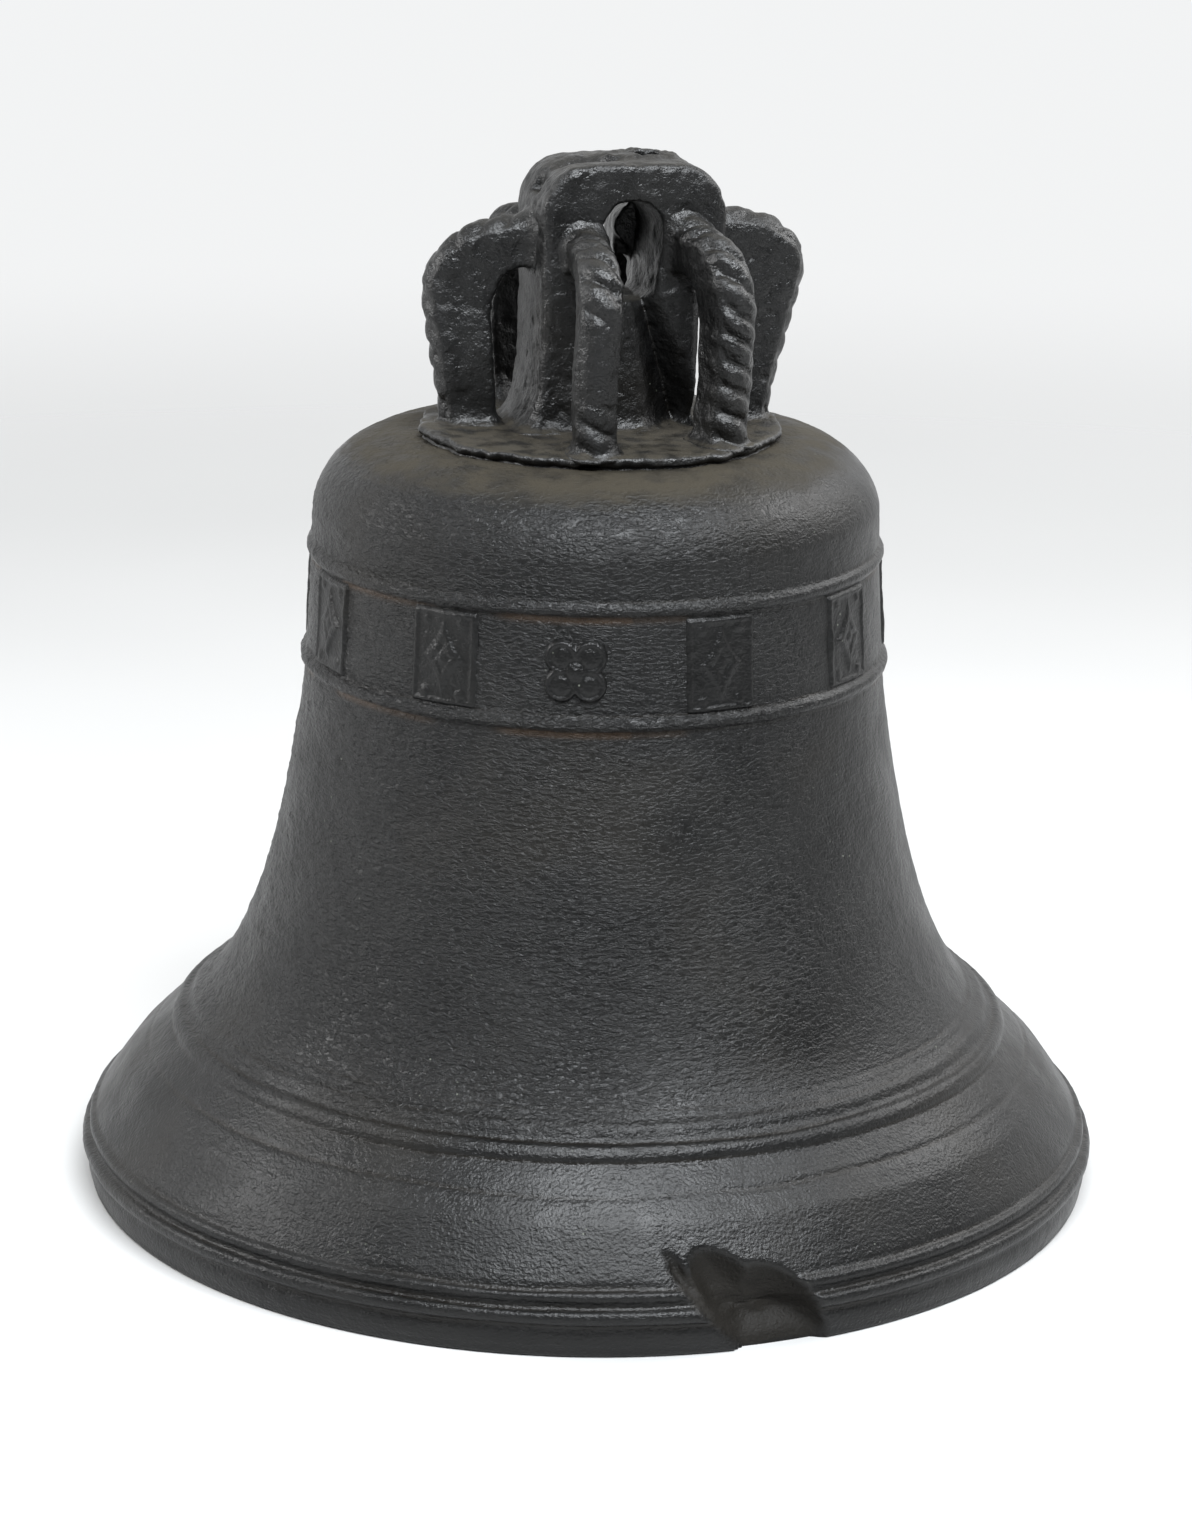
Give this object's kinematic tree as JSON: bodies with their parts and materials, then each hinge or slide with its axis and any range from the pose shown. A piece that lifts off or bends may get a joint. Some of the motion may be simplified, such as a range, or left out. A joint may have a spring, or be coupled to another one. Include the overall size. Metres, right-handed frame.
{
  "type": "church bell",
  "caption": "Cast bronze church bell with flared lip, moulded wires, relief band, crown of roped canons round an argent, and a hinged iron clapper.",
  "frame": {"origin": "on the bell's axis, at the plane of the lip that it stands on", "axes": "+Z along the bell's axis towards the crown, +X along the long side of the argent, which is the axis the clapper swings about, -Y the side that shows in the picture"},
  "size_m": [0.674, 0.674, 0.675],
  "materials": {
    "bell_bronze": "blackened cast bronze, waxed, with fine casting ripples",
    "crown_bronze": "blackened rough cast bronze, pitted, worn lighter on its edges",
    "relief_bronze": "blackened cast bronze relief, softened by wear",
    "staple_iron": "forged iron, dark scale and old rust",
    "baldric_leather": "thick oiled harness leather",
    "busk_wood": "aged oak, oiled",
    "fastener_iron": "forged iron, dark",
    "clapper_iron": "forged iron, dark scale, brighter where the ball strikes"
  },
  "bodies": {
    "bell": {"bell_shell": "bell_bronze", "crown_plate": "bell_bronze", "argent": "crown_bronze", "canon_front_left": "crown_bronze", "canon_front_right": "crown_bronze", "canon_right": "crown_bronze", "canon_rear_right": "crown_bronze", "canon_rear_left": "crown_bronze", "canon_left": "crown_bronze", "band_plaques": "relief_bronze", "band_stops": "relief_bronze", "crown_staple": "staple_iron"},
    "clapper": {"baldric": "baldric_leather", "busk_board": "busk_wood", "baldric_bolt": "fastener_iron", "bolt_washers": "fastener_iron", "bolt_key": "fastener_iron", "clapper_shank": "clapper_iron", "clapper_ball": "clapper_iron"}
  },
  "joints": [
    {"name": "clapper_swing", "type": "hinge", "parent": "bell", "child": "clapper", "pos_m": [0, 0, 0.42], "axis": [1, 0, 0], "range_deg": [-31, 31]}
  ]
}
